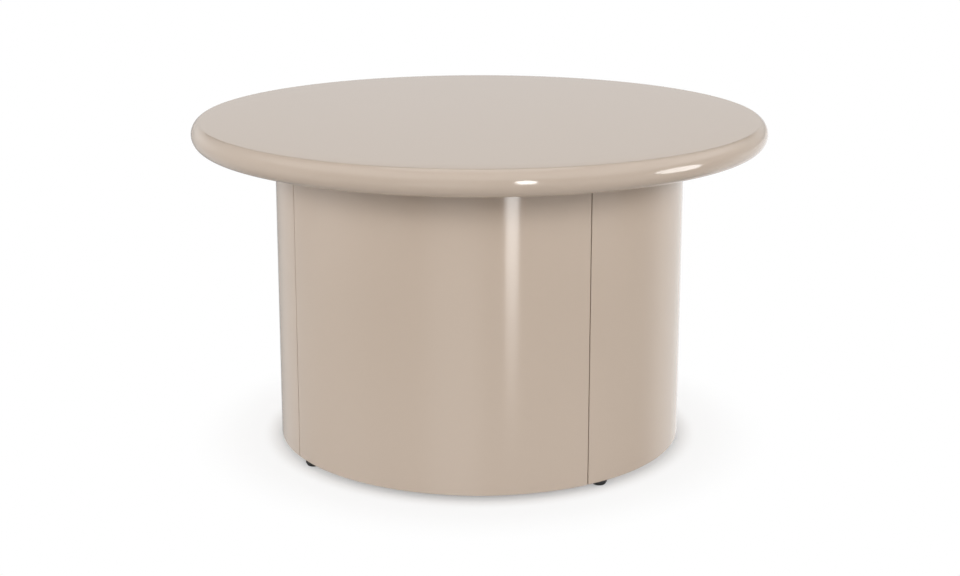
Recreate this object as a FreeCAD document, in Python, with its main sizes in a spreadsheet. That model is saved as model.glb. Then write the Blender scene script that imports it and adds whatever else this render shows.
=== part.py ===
import FreeCAD, Part
import os
import Sketcher

# Round cocktail table: a nosed round top on a drum of four quarter panels, standing on four screw-in glides.
# Frame: origin on the floor under the centre, +Z up, the front panel centred on -Y. All sizes in millimetres.

driving_sizes = {
    # round top
    "top_diameter": 813,
    "top_thickness": 36,
    "nose_crop": 2,  # how far the flat of the top lies below the crown of the full nose
    "arris_round": 0.8,
    # drum of quarter panels
    "drum_diameter": 581,
    "drum_height": 424,
    "panel_thickness": 18,
    "seam_gap": 1.4,
    "panel_arris_round": 0.5,
    # rings inside the drum
    "ring_thickness": 18,
    "ring_width": 66,
    "ring_clearance": 0.5,
    "ring_edge_round": 3,
    "lower_ring_recess": 12,
    # upright cleats behind the seams
    "cleat_width": 34,
    "cleat_depth": 32,
    "cleat_edge_chamfer": 2.5,
    # connector bolts and sleeve nuts through each pair of cleats
    "connector_diameter": 6,
    "connector_head_diameter": 15,
    "connector_head_height": 2.5,
    "connector_engagement": 14,
    "connector_end_distance": 60,
    "sleeve_diameter": 8,
    "sleeve_length": 22,
    "sleeve_clearance": 0.2,
    "thread_clearance": 0.05,
    # countersunk screws through the rings into the cleats
    "screw_diameter": 5,
    "screw_head_diameter": 10,
    "screw_length": 50,
    "screw_tip_length": 5,
    "screw_clearance": 0.1,
    # bolts, washers and inserts that hold the top
    "top_bolt_diameter": 6,
    "top_bolt_head_diameter": 12,
    "top_bolt_head_height": 4,
    "top_bolt_reach": 14,
    "top_bolt_clearance": 0.5,
    "washer_diameter": 18,
    "washer_thickness": 1.6,
    "insert_diameter": 10,
    "insert_length": 13,
    "insert_clearance": 0.05,
    "insert_hole_depth": 20,
    # screw-in glides
    "pad_diameter": 22,
    "pad_foot_diameter": 17,
    "pad_height": 6.2,
    "pad_rim": 1.6,
    "pad_round": 2,
    "glide_seam_distance": 24.5,
    "stud_diameter": 6,
    "stud_reach": 28,
    "stud_chamfer": 0.8,
    "stud_clearance": 0.05,
    "stud_tip_room": 3,
    "stud_bore_clearance": 0.5,
    "hexagon_across_flats": 10,
    "hexagon_height": 3,
    "glide_insert_diameter": 10,
    "glide_insert_length": 16,
}
quarters = 4
connectors_per_seam = 3
top_bolt_count = 8
full_turn = 360
quarter_turn = full_turn / quarters
first_seam_angle = -135
level_share = 1e-6  # of the drum's height: edges this near to a height lie at it
half_bolt_step = full_turn / top_bolt_count / 2
panel_names = ["front", "right", "back", "left"]
seam_names = ["front_left", "front_right", "back_right", "back_left"]

doc = FreeCAD.newDocument("round_cocktail_table")
sheet = doc.addObject("Spreadsheet::Sheet", "sizes")
for row, (alias, number) in enumerate(driving_sizes.items(), start=1):
    sheet.set(f"A{row}", alias.replace("_", " "))
    sheet.set(f"B{row}", str(number))
    sheet.setAlias(f"B{row}", alias)
doc.recompute()

# Sizes that follow from the driving ones, written as formulas on the sheet
nose_radius = "(sizes.top_thickness + sizes.nose_crop) / 2"
nose_centre = f"sizes.top_diameter / 2 - {nose_radius}"
drum_radius = "sizes.drum_diameter / 2"
panel_inside = f"({drum_radius} - sizes.panel_thickness)"
panel_middle = f"({drum_radius} - sizes.panel_thickness / 2)"
half_gap = "sizes.seam_gap / 2"
ring_outside = f"({panel_inside} - sizes.ring_clearance)"
ring_inside = f"({ring_outside} - sizes.ring_width)"
ring_middle = f"({ring_outside} - sizes.ring_width / 2)"
cleat_inside = f"({panel_inside} - sizes.cleat_depth)"
cleat_middle = f"({panel_inside} - sizes.cleat_depth / 2)"
cleat_height = "(sizes.drum_height - sizes.lower_ring_recess - 2 * sizes.ring_thickness)"
pilot_depth = "(sizes.screw_length - sizes.ring_thickness + sizes.screw_clearance)"
connector_span = f"({cleat_height} - 2 * sizes.connector_end_distance)"
sleeve_mouth = "(sizes.cleat_width - sizes.sleeve_length)"
glide_along = f"sqrt({panel_middle}^2 - sizes.glide_seam_distance^2)"

# Heights above the floor
drum_foot = "sizes.pad_height"
lower_ring_foot = f"{drum_foot} + sizes.lower_ring_recess"
cleat_foot = f"{lower_ring_foot} + sizes.ring_thickness"
upper_ring_foot = f"{drum_foot} + sizes.drum_height - sizes.ring_thickness"
top_foot = f"{drum_foot} + sizes.drum_height"
drum_axis = FreeCAD.Vector(0, 0, 1)


def value(formula):
    return float(sheet.evalExpression(formula))


def new_body(label, angle, height="0"):
    """A body turned about the drum's axis and raised to its height above the floor."""
    body = doc.addObject("PartDesign::Body", label)
    body.Label = label
    body.Placement = FreeCAD.Placement(FreeCAD.Vector(), FreeCAD.Rotation(drum_axis, angle))
    body.setExpression("Placement.Base.z", height)
    return body


def origin_of(body, role):
    return next(item for item in body.Origin.OriginFeatures if item.Role == role)


def new_sketch(body, name, role, x="0", y="0", z="0", turn=0):
    """A sketch on one of the body's own planes, shifted and turned within that plane."""
    sketch = body.newObject("Sketcher::SketchObject", name)
    sketch.AttachmentSupport = [(origin_of(body, role), "")]
    sketch.MapMode = "FlatFace"
    sketch.AttachmentOffset = FreeCAD.Placement(FreeCAD.Vector(), FreeCAD.Rotation(drum_axis, turn))
    for axis, formula in (("x", x), ("y", y), ("z", z)):
        if formula != "0":
            sketch.setExpression(f"AttachmentOffset.Base.{axis}", formula)
    return sketch


def bind(sketch, constraint, name, formula):
    index = sketch.addConstraint(constraint)
    sketch.renameConstraint(index, name)
    sketch.setExpression(f"Constraints.{name}", formula)


def pin_point(sketch, geometry, point, name, x, y):
    """Ties one point of a sketch to its two coordinates, each a formula on the sheet."""
    for kind, axis, formula, zero_line in (("DistanceX", "x", x, -2), ("DistanceY", "y", y, -1)):
        amount = value(formula)
        if formula == "0":
            sketch.addConstraint(Sketcher.Constraint("PointOnObject", geometry, point, zero_line))
        elif amount < 0:
            constraint = Sketcher.Constraint(kind, geometry, point, -1, 1, -amount)
            bind(sketch, constraint, f"{name}_{axis}", f"-({formula})")
        else:
            constraint = Sketcher.Constraint(kind, -1, 1, geometry, point, amount)
            bind(sketch, constraint, f"{name}_{axis}", formula)


def draw_outline(sketch, corners):
    """A closed outline of straight lines through corners, each a pair of formulas."""
    places = [FreeCAD.Vector(value(x), value(y), 0) for x, y in corners]
    count = len(corners)
    lines = []
    for index in range(count):
        line = Part.LineSegment(places[index], places[(index + 1) % count])
        lines.append(sketch.addGeometry(line))
    for index, (x, y) in enumerate(corners):
        sketch.addConstraint(Sketcher.Constraint("Coincident", lines[index - 1], 2, lines[index], 1))
        pin_point(sketch, lines[index], 1, f"corner{index}", x, y)


def draw_circle(sketch, name, diameter, x="0", y="0"):
    centre = FreeCAD.Vector(value(x), value(y), 0)
    circle = sketch.addGeometry(Part.Circle(centre, drum_axis, value(diameter) / 2))
    bind(sketch, Sketcher.Constraint("Diameter", circle, value(diameter)), f"{name}_across", diameter)
    pin_point(sketch, circle, 3, name, x, y)


def draw_hexagon(sketch):
    """A hexagon about the sketch's origin, two of its flats square to the sketch's vertical."""
    half_flats = "sizes.hexagon_across_flats / 2"
    half_side = "sizes.hexagon_across_flats / 2 / sqrt(3)"
    far_corner = "sizes.hexagon_across_flats / sqrt(3)"
    draw_outline(sketch, [
        (far_corner, "0"),
        (half_side, half_flats),
        (f"-({half_side})", half_flats),
        (f"-({far_corner})", "0"),
        (f"-({half_side})", f"-({half_flats})"),
        (half_side, f"-({half_flats})"),
    ])


def pad(body, name, sketch, length):
    feature = body.newObject("PartDesign::Pad", name)
    feature.Profile = sketch
    feature.setExpression("Length", length)
    doc.recompute()
    return feature


def revolve(body, name, sketch):
    feature = body.newObject("PartDesign::Revolution", name)
    feature.Profile = sketch
    feature.ReferenceAxis = (sketch, ["V_Axis"])
    feature.Angle = full_turn
    doc.recompute()
    return feature


def check_cut(body, name, volume_before):
    doc.recompute()
    if body.Shape.Volume >= volume_before:
        raise ValueError(f"{name} removes nothing from {body.Label}")


def pocket(body, name, sketch, depth, reverse=False):
    volume_before = body.Shape.Volume
    feature = body.newObject("PartDesign::Pocket", name)
    feature.Profile = sketch
    feature.Reversed = reverse
    feature.setExpression("Length", depth)
    check_cut(body, name, volume_before)
    return feature


def groove(body, name, sketch):
    volume_before = body.Shape.Volume
    feature = body.newObject("PartDesign::Groove", name)
    feature.Profile = sketch
    feature.ReferenceAxis = (sketch, ["V_Axis"])
    feature.Angle = full_turn
    check_cut(body, name, volume_before)
    return feature


def ease_edges(body, name, base, chosen, kind, size_property, size):
    """A fillet or chamfer on the edges of the base feature that the given test chooses."""
    names = [f"Edge{index}" for index, edge in enumerate(base.Shape.Edges, start=1) if chosen(edge)]
    if not names:
        raise ValueError(f"{name} finds no edge on {body.Label}")
    feature = body.newObject(kind, name)
    feature.Base = (base, names)
    feature.setExpression(size_property, size)
    doc.recompute()
    return feature


def round_edges(body, name, base, chosen, radius):
    return ease_edges(body, name, base, chosen, "PartDesign::Fillet", "Radius", radius)


def chamfer_edges(body, name, base, chosen, size):
    return ease_edges(body, name, base, chosen, "PartDesign::Chamfer", "Size", size)


def polar_pattern(body, name, originals, count):
    feature = body.newObject("PartDesign::PolarPattern", name)
    feature.Originals = originals
    feature.Axis = (origin_of(body, "Z_Axis"), [""])
    feature.Angle = full_turn
    feature.Occurrences = count
    body.Tip = feature
    doc.recompute()
    return feature


def around_the_seams(body, name, originals, mirrored=False, rows=1, row_span="0"):
    """Repeats features at every seam: both sides of it if mirrored, and in rows up its height."""
    feature = body.newObject("PartDesign::MultiTransform", name)
    feature.Originals = originals
    steps = []
    if mirrored:
        mirror = body.newObject("PartDesign::Mirrored", f"{name}_mirror")
        mirror.MirrorPlane = (origin_of(body, "XZ_Plane"), [""])
        steps.append(mirror)
    if rows > 1:
        column = body.newObject("PartDesign::LinearPattern", f"{name}_rows")
        column.Direction = (origin_of(body, "Z_Axis"), [""])
        column.setExpression("Length", row_span)
        column.Occurrences = rows
        steps.append(column)
    ring = body.newObject("PartDesign::PolarPattern", f"{name}_ring")
    ring.Axis = (origin_of(body, "Z_Axis"), [""])
    ring.Angle = full_turn
    ring.Occurrences = quarters
    steps.append(ring)
    feature.Transformations = steps
    body.Tip = feature
    doc.recompute()
    return feature


def half_section(body, name, role, corners, x="0", y="0", z="0"):
    """A sketch of a turned piece's half section: radius across, distance along its axis upwards."""
    sketch = new_sketch(body, name, role, x, y, z)
    draw_outline(sketch, corners)
    return sketch


def level(edge, height):
    """Whether an edge lies flat at a height of its own body."""
    box = edge.BoundBox
    tolerance = value("sizes.drum_height") * level_share
    return abs(box.ZMin - height) < tolerance and abs(box.ZMax - height) < tolerance


# Round top: one revolved profile, whose nose is an arc that runs tangent into the underside and
# meets the flat of the top at an arris, because the board is thinner than the full nose.
def make_top():
    body = new_body("table_top", first_seam_angle + half_bolt_step, top_foot)
    profile = new_sketch(body, "top_profile", "XZ_Plane")
    radius = value(nose_radius)
    centre = FreeCAD.Vector(value(nose_centre), radius, 0)
    rise = value("sizes.top_thickness") - radius
    run = (radius**2 - rise**2) ** 0.5
    under_end = FreeCAD.Vector(centre.x, 0, 0)
    nose_tip = FreeCAD.Vector(centre.x + radius, radius, 0)
    arris = FreeCAD.Vector(centre.x + run, radius + rise, 0)
    crown = FreeCAD.Vector(0, radius + rise, 0)
    under = profile.addGeometry(Part.LineSegment(FreeCAD.Vector(), under_end))
    nose = profile.addGeometry(Part.Arc(under_end, nose_tip, arris))
    flat = profile.addGeometry(Part.LineSegment(arris, crown))
    axis = profile.addGeometry(Part.LineSegment(crown, FreeCAD.Vector()))
    profile.addConstraint([
        Sketcher.Constraint("Coincident", under, 1, -1, 1),
        Sketcher.Constraint("Horizontal", under),
        Sketcher.Constraint("Tangent", under, 2, nose, 1),
        Sketcher.Constraint("Coincident", nose, 2, flat, 1),
        Sketcher.Constraint("Horizontal", flat),
        Sketcher.Constraint("Coincident", flat, 2, axis, 1),
        Sketcher.Constraint("Coincident", axis, 2, under, 1),
        Sketcher.Constraint("Vertical", axis),
    ])
    bind(profile, Sketcher.Constraint("Radius", nose, radius), "nose", nose_radius)
    reach = Sketcher.Constraint("DistanceX", -1, 1, nose, 3, centre.x)
    bind(profile, reach, "nose_reach", nose_centre)
    depth = Sketcher.Constraint("DistanceY", axis, 2, axis, 1, radius + rise)
    bind(profile, depth, "thickness", "sizes.top_thickness")
    board = revolve(body, "board", profile)
    edge_level = value("sizes.top_thickness")
    round_edges(body, "eased_arris", board, lambda edge: level(edge, edge_level), "sizes.arris_round")
    spot = new_sketch(body, "insert_hole_spot", "XY_Plane", x=ring_middle)
    draw_circle(spot, "insert_hole", "sizes.insert_diameter + 2 * sizes.insert_clearance")
    hole = pocket(body, "insert_hole", spot, "sizes.insert_hole_depth", reverse=True)
    polar_pattern(body, "insert_holes", [hole], top_bolt_count)
    return body


# Quarter panel of the drum: starts half a gap past its own seam and stops half a gap short of the next.
# A stepped bore in its lower edge takes the threaded insert and the stud of its glide.
def make_panel(name, angle):
    body = new_body(f"drum_panel_{name}", angle, drum_foot)
    plan = new_sketch(body, "panel_plan", "XY_Plane")
    gap = value(half_gap)
    arcs = []
    ends = []
    for formula in (drum_radius, panel_inside):
        radius = value(formula)
        reach = (radius**2 - gap**2) ** 0.5
        middle = radius / 2**0.5
        start = FreeCAD.Vector(reach, gap, 0)
        finish = FreeCAD.Vector(gap, reach, 0)
        arcs.append(plan.addGeometry(Part.Arc(start, FreeCAD.Vector(middle, middle, 0), finish)))
        ends.append((start, finish))
    near = plan.addGeometry(Part.LineSegment(ends[1][0], ends[0][0]))
    far = plan.addGeometry(Part.LineSegment(ends[0][1], ends[1][1]))
    plan.addConstraint([
        Sketcher.Constraint("Coincident", arcs[0], 3, -1, 1),
        Sketcher.Constraint("Coincident", arcs[1], 3, -1, 1),
        Sketcher.Constraint("Coincident", near, 1, arcs[1], 1),
        Sketcher.Constraint("Coincident", near, 2, arcs[0], 1),
        Sketcher.Constraint("Coincident", far, 1, arcs[0], 2),
        Sketcher.Constraint("Coincident", far, 2, arcs[1], 2),
        Sketcher.Constraint("Horizontal", near),
        Sketcher.Constraint("Vertical", far),
    ])
    bind(plan, Sketcher.Constraint("Radius", arcs[0], value(drum_radius)), "outside", drum_radius)
    bind(plan, Sketcher.Constraint("Radius", arcs[1], value(panel_inside)), "inside", panel_inside)
    bind(plan, Sketcher.Constraint("DistanceY", -1, 1, near, 1, gap), "near_gap", half_gap)
    bind(plan, Sketcher.Constraint("DistanceX", -1, 1, far, 1, gap), "far_gap", half_gap)
    shell = pad(body, "shell", plan, "sizes.drum_height")
    outside = value(drum_radius)
    skin = outside - value("sizes.panel_thickness") / 2

    def on_the_show_side(edge):
        ends_out = all(vertex.Point.x**2 + vertex.Point.y**2 > skin**2 for vertex in edge.Vertexes)
        return ends_out and not level(edge, value("sizes.drum_height"))

    round_edges(body, "eased_arrises", shell, on_the_show_side, "sizes.panel_arris_round")
    insert_spot = new_sketch(body, "insert_bore_spot", "XY_Plane", x=glide_along, y="sizes.glide_seam_distance")
    draw_circle(insert_spot, "bore", "sizes.glide_insert_diameter + 2 * sizes.insert_clearance")
    pocket(body, "insert_bore", insert_spot, "sizes.glide_insert_length", reverse=True)
    stud_spot = new_sketch(body, "stud_bore_spot", "XY_Plane", x=glide_along, y="sizes.glide_seam_distance")
    draw_circle(stud_spot, "bore", "sizes.stud_diameter + 2 * sizes.stud_bore_clearance")
    pocket(body, "stud_bore", stud_spot, "sizes.stud_reach + sizes.stud_tip_room", reverse=True)
    return body


# Ring inside the drum, rounded where a hand reaches through it, with a countersunk hole over the end of
# each cleat. The upper ring also has the holes for the bolts that hold the top.
def make_ring(label, height, head_level, way, bolted):
    body = new_body(label, first_seam_angle, height)
    plan = new_sketch(body, "ring_plan", "XY_Plane")
    draw_circle(plan, "outside", f"2 * {ring_outside}")
    draw_circle(plan, "inside", f"2 * {ring_inside}")
    ring = pad(body, "ring", plan, "sizes.ring_thickness")
    middle = value(ring_middle)

    def round_the_opening(edge):
        lies_flat = level(edge, edge.BoundBox.ZMin)
        return lies_flat and edge.Curve.Radius < middle

    round_edges(body, "rounded_opening", ring, round_the_opening, "sizes.ring_edge_round")
    corners = screw_corners(way, "sizes.screw_clearance")
    section = half_section(body, "screw_hole_section", "XZ_Plane", corners,
                           x=cleat_middle, y=head_level, z="-sizes.cleat_width / 2")
    hole = groove(body, "screw_hole", section)
    around_the_seams(body, "screw_holes", [hole], mirrored=True)
    if bolted:
        spot = new_sketch(body, "bolt_hole_spot", "XY_Plane", turn=half_bolt_step)
        across = "sizes.top_bolt_diameter + 2 * sizes.top_bolt_clearance"
        draw_circle(spot, "bolt_hole", across, x=ring_middle)
        hole = pocket(body, "bolt_hole", spot, "sizes.ring_thickness", reverse=True)
        polar_pattern(body, "bolt_holes", [hole], top_bolt_count)
    return body


def screw_corners(way, clearance):
    """Half section of a countersunk screw from its flat head, along way; wider by a clearance for its hole."""
    head = f"sizes.screw_head_diameter / 2 + {clearance}"
    shank = f"sizes.screw_diameter / 2 + {clearance}"
    neck = "(sizes.screw_head_diameter - sizes.screw_diameter) / 2"
    return [
        ("0", "0"),
        (head, "0"),
        (shank, f"{way} * {neck}"),
        (shank, f"{way} * (sizes.screw_length - sizes.screw_tip_length)"),
        ("0", f"{way} * sizes.screw_length"),
    ]


def make_screws(label, height, way):
    body = new_body(label, first_seam_angle, height)
    section = half_section(body, "screw_section", "XZ_Plane", screw_corners(way, "0"),
                           x=cleat_middle, z="-sizes.cleat_width / 2")
    screw = revolve(body, "screw", section)
    around_the_seams(body, "screws", [screw], mirrored=True)
    return body


# Cleat glued behind one end of a panel: side is 1 past the seam and -1 before it.
# Its outer face follows the panel, its seam face stands on the seam's own plane, and its inner edges are eased.
def make_cleat(label, angle, side):
    body = new_body(label, angle, cleat_foot)
    plan = new_sketch(body, "cleat_plan", "XY_Plane")
    width = f"{side} * sizes.cleat_width"
    radius = value(panel_inside)
    offset = value(width)
    bend = value("sizes.cleat_width") / 2
    near_in = FreeCAD.Vector(value(cleat_inside), 0, 0)
    near_out = FreeCAD.Vector(radius, 0, 0)
    middle_out = FreeCAD.Vector((radius**2 - bend**2) ** 0.5, side * bend, 0)
    far_out = FreeCAD.Vector((radius**2 - offset**2) ** 0.5, offset, 0)
    far_in = FreeCAD.Vector(near_in.x, offset, 0)
    seam_face = plan.addGeometry(Part.LineSegment(near_in, near_out))
    panel_face = plan.addGeometry(Part.Arc(near_out, middle_out, far_out))
    far_face = plan.addGeometry(Part.LineSegment(far_out, far_in))
    inner_face = plan.addGeometry(Part.LineSegment(far_in, near_in))
    near_point, far_point = (1, 2) if side > 0 else (2, 1)
    plan.addConstraint([
        Sketcher.Constraint("Coincident", seam_face, 2, panel_face, near_point),
        Sketcher.Constraint("Coincident", panel_face, far_point, far_face, 1),
        Sketcher.Constraint("Coincident", far_face, 2, inner_face, 1),
        Sketcher.Constraint("Coincident", inner_face, 2, seam_face, 1),
        Sketcher.Constraint("Coincident", panel_face, 3, -1, 1),
        Sketcher.Constraint("PointOnObject", seam_face, 2, -1),
        Sketcher.Constraint("Horizontal", far_face),
    ])
    bind(plan, Sketcher.Constraint("Radius", panel_face, radius), "panel_side", panel_inside)
    pin_point(plan, inner_face, 2, "seam_inside", cleat_inside, "0")
    pin_point(plan, inner_face, 1, "far_inside", cleat_inside, width)
    post = pad(body, "post", plan, cleat_height)
    half_depth = value(cleat_middle)

    def upright_inside(edge):
        return all(vertex.Point.x < half_depth for vertex in edge.Vertexes) and not level(edge, edge.BoundBox.ZMin)

    chamfer_edges(body, "eased_edges", post, upright_inside, "sizes.cleat_edge_chamfer")
    spot = new_sketch(body, "connector_spot", "XZ_Plane", x=cleat_middle, y="sizes.connector_end_distance")
    draw_circle(spot, "connector_hole", "sizes.sleeve_diameter + 2 * sizes.sleeve_clearance")
    hole = pocket(body, "connector_hole", spot, "sizes.cleat_width", reverse=side < 0)
    column = body.newObject("PartDesign::LinearPattern", "connector_holes")
    column.Originals = [hole]
    column.Direction = (origin_of(body, "Z_Axis"), [""])
    column.setExpression("Length", connector_span)
    column.Occurrences = connectors_per_seam
    body.Tip = column
    doc.recompute()
    for end, height, upwards in (("lower", "0", True), ("upper", cleat_height, False)):
        spot = new_sketch(body, f"{end}_pilot_spot", "XY_Plane", x=cleat_middle, y=f"{width} / 2", z=height)
        draw_circle(spot, "pilot", "sizes.screw_diameter + 2 * sizes.screw_clearance")
        pocket(body, f"{end}_pilot", spot, pilot_depth, reverse=upwards)
    return body


# Connector through each pair of cleats: a bolt from one side and a sleeve nut from the other.
def make_connectors(label, corners):
    body = new_body(label, first_seam_angle, cleat_foot)
    section = half_section(body, "connector_section", "XY_Plane", corners,
                           x=cleat_middle, z="sizes.connector_end_distance")
    turned = revolve(body, "connector", section)
    around_the_seams(body, "connectors", [turned], rows=connectors_per_seam, row_span=connector_span)
    return body


def connector_bolt_corners():
    head = "sizes.connector_head_diameter / 2"
    shank = "sizes.connector_diameter / 2"
    tip = f"{sleeve_mouth} + sizes.connector_engagement"
    return [
        ("0", "-(sizes.cleat_width + sizes.connector_head_height)"),
        (head, "-(sizes.cleat_width + sizes.connector_head_height)"),
        (head, "-sizes.cleat_width"),
        (shank, "-sizes.cleat_width"),
        (shank, tip),
        ("0", tip),
    ]


def connector_nut_corners():
    flange = "sizes.connector_head_diameter / 2"
    sleeve = "sizes.sleeve_diameter / 2"
    thread = "sizes.connector_diameter / 2 + sizes.thread_clearance"
    return [
        (thread, sleeve_mouth),
        (sleeve, sleeve_mouth),
        (sleeve, "sizes.cleat_width"),
        (flange, "sizes.cleat_width"),
        (flange, "sizes.cleat_width + sizes.connector_head_height"),
        ("0", "sizes.cleat_width + sizes.connector_head_height"),
        ("0", "sizes.cleat_width"),
        (thread, "sizes.cleat_width"),
    ]


# What holds the top: bolts from below through the upper ring into inserts in the underside of the top.
def make_top_fixing(label, height, corners):
    body = new_body(label, first_seam_angle + half_bolt_step, height)
    section = half_section(body, "fixing_section", "XZ_Plane", corners, x=ring_middle)
    turned = revolve(body, "fixing", section)
    polar_pattern(body, "fixings", [turned], top_bolt_count)
    return body


def top_bolt_corners():
    head = "sizes.top_bolt_head_diameter / 2"
    shank = "sizes.top_bolt_diameter / 2"
    seat = "-sizes.washer_thickness"
    underside = "-(sizes.washer_thickness + sizes.top_bolt_head_height)"
    tip = "sizes.ring_thickness + sizes.top_bolt_reach"
    return [("0", underside), (head, underside), (head, seat), (shank, seat), (shank, tip), ("0", tip)]


def tube_corners(bore_radius, outer_radius, foot, head):
    return [(bore_radius, foot), (outer_radius, foot), (outer_radius, head), (bore_radius, head)]


# Glide: a plastic pad, tapered below its rim, pressed over the hexagon head of a threaded stud.
def put_under_panel(body, angle):
    across = f"({glide_along}) * cos({angle} deg) - sizes.glide_seam_distance * sin({angle} deg)"
    along = f"({glide_along}) * sin({angle} deg) + sizes.glide_seam_distance * cos({angle} deg)"
    body.setExpression("Placement.Base.x", across)
    body.setExpression("Placement.Base.y", along)


def make_glide_pad(label, angle):
    body = new_body(label, angle)
    put_under_panel(body, angle)
    section = half_section(body, "pad_section", "XZ_Plane", [
        ("0", "0"),
        ("sizes.pad_foot_diameter / 2", "0"),
        ("sizes.pad_diameter / 2", "sizes.pad_height - sizes.pad_rim"),
        ("sizes.pad_diameter / 2", "sizes.pad_height"),
        ("0", "sizes.pad_height"),
    ])
    button = revolve(body, "button", section)
    round_edges(body, "rounded_foot", button, lambda edge: level(edge, 0), "sizes.pad_round")
    spot = new_sketch(body, "socket_spot", "XY_Plane", z="sizes.pad_height")
    draw_hexagon(spot)
    pocket(body, "socket", spot, "sizes.hexagon_height")
    return body


def make_glide_stud(label, angle):
    body = new_body(label, angle)
    put_under_panel(body, angle)
    head_plan = new_sketch(body, "head_plan", "XY_Plane", z="sizes.pad_height - sizes.hexagon_height")
    draw_hexagon(head_plan)
    pad(body, "head", head_plan, "sizes.hexagon_height")
    shank_plan = new_sketch(body, "shank_plan", "XY_Plane", z="sizes.pad_height")
    draw_circle(shank_plan, "shank", "sizes.stud_diameter")
    shank = pad(body, "shank", shank_plan, "sizes.stud_reach")
    tip_level = value("sizes.pad_height + sizes.stud_reach")
    chamfer_edges(body, "tip_chamfer", shank, lambda edge: level(edge, tip_level), "sizes.stud_chamfer")
    return body


def make_glide_inserts(label):
    body = new_body(label, first_seam_angle, drum_foot)
    bore = "sizes.stud_diameter / 2 + sizes.stud_clearance"
    corners = tube_corners(bore, "sizes.glide_insert_diameter / 2", "0", "sizes.glide_insert_length")
    section = half_section(body, "insert_section", "XZ_Plane", corners,
                           x=glide_along, z="-sizes.glide_seam_distance")
    insert = revolve(body, "insert", section)
    polar_pattern(body, "inserts", [insert], quarters)
    return body


bodies = [make_top()]
for index, name in enumerate(panel_names):
    bodies.append(make_panel(name, first_seam_angle + index * quarter_turn))
bodies.append(make_ring("upper_ring", upper_ring_foot, "sizes.ring_thickness", -1, bolted=True))
bodies.append(make_ring("lower_ring", lower_ring_foot, "0", 1, bolted=False))
bodies.append(make_screws("upper_ring_screws", top_foot, -1))
bodies.append(make_screws("lower_ring_screws", lower_ring_foot, 1))
for index, name in enumerate(seam_names):
    angle = first_seam_angle + index * quarter_turn
    bodies.append(make_cleat(f"cleat_{name}_leading", angle, 1))
    bodies.append(make_cleat(f"cleat_{name}_trailing", angle, -1))
bodies.append(make_connectors("connector_bolts", connector_bolt_corners()))
bodies.append(make_connectors("connector_nuts", connector_nut_corners()))
bodies.append(make_top_fixing("top_bolts", upper_ring_foot, top_bolt_corners()))
bolt_hole_radius = "sizes.top_bolt_diameter / 2 + sizes.top_bolt_clearance"
bolt_thread_radius = "sizes.top_bolt_diameter / 2 + sizes.thread_clearance"
washer = tube_corners(bolt_hole_radius, "sizes.washer_diameter / 2", "-sizes.washer_thickness", "0")
bodies.append(make_top_fixing("top_washers", upper_ring_foot, washer))
top_insert = tube_corners(bolt_thread_radius, "sizes.insert_diameter / 2", "0", "sizes.insert_length")
bodies.append(make_top_fixing("top_inserts", top_foot, top_insert))
for index, name in enumerate(seam_names):
    angle = first_seam_angle + index * quarter_turn
    bodies.append(make_glide_pad(f"glide_pad_{name}", angle))
    bodies.append(make_glide_stud(f"glide_stud_{name}", angle))
bodies.append(make_glide_inserts("glide_inserts"))

doc.recompute()
for item in doc.Objects:
    if "Invalid" in item.State or "Error" in item.State:
        raise ValueError(f"{item.Label} did not compute: {item.State}")
for body in bodies:
    if body.Shape.isNull() or not body.Shape.isValid():
        raise ValueError(f"{body.Label} has no valid shape")

os.makedirs("parts", exist_ok=True)
for body in bodies:
    body.Shape.exportStep(f"parts/{body.Label}.step")
    print(body.Label, len(body.Shape.Solids), round(body.Shape.Volume))
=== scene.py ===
import math
import bpy
import numpy as np
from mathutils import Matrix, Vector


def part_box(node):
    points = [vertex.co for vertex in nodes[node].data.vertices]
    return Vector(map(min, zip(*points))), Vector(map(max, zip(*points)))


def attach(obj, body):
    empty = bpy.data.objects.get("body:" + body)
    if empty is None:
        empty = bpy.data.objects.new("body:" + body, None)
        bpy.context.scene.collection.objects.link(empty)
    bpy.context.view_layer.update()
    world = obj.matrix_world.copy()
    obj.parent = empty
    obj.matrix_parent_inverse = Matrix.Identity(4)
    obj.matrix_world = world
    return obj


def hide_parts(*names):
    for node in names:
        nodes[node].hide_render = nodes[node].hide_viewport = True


# Round cocktail table in gloss lacquer: a nosed top on a drum of four quarter panels, with screw-in glides.
# Everything is in metres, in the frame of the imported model: floor at z 0, front panel centred on -Y.
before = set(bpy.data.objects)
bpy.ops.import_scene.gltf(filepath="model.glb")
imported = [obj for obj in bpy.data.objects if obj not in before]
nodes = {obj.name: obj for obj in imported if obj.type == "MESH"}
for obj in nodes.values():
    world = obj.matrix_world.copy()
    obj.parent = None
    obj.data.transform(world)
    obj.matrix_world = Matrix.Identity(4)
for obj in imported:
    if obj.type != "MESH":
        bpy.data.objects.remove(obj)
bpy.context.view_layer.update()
print("frame loaded:", len(nodes), "nodes")

seamNames = ["front_left", "front_right", "back_right", "back_left"]
panelNames = ["front", "right", "back", "left"]
seamAngles = np.radians([-135, -45, 45, 135])
fullTurn = 2 * math.pi
halfTurn = math.pi
quarterTurn = math.pi / 2


def nodeRadii(label):
    # nearest and furthest distance of a node's corners from the drum's axis
    mesh = nodes[label].data
    corners = np.empty(len(mesh.vertices) * 3, np.float32)
    mesh.vertices.foreach_get("co", corners)
    away = np.hypot(corners[0::3], corners[1::3])
    return float(away.min()), float(away.max())


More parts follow.
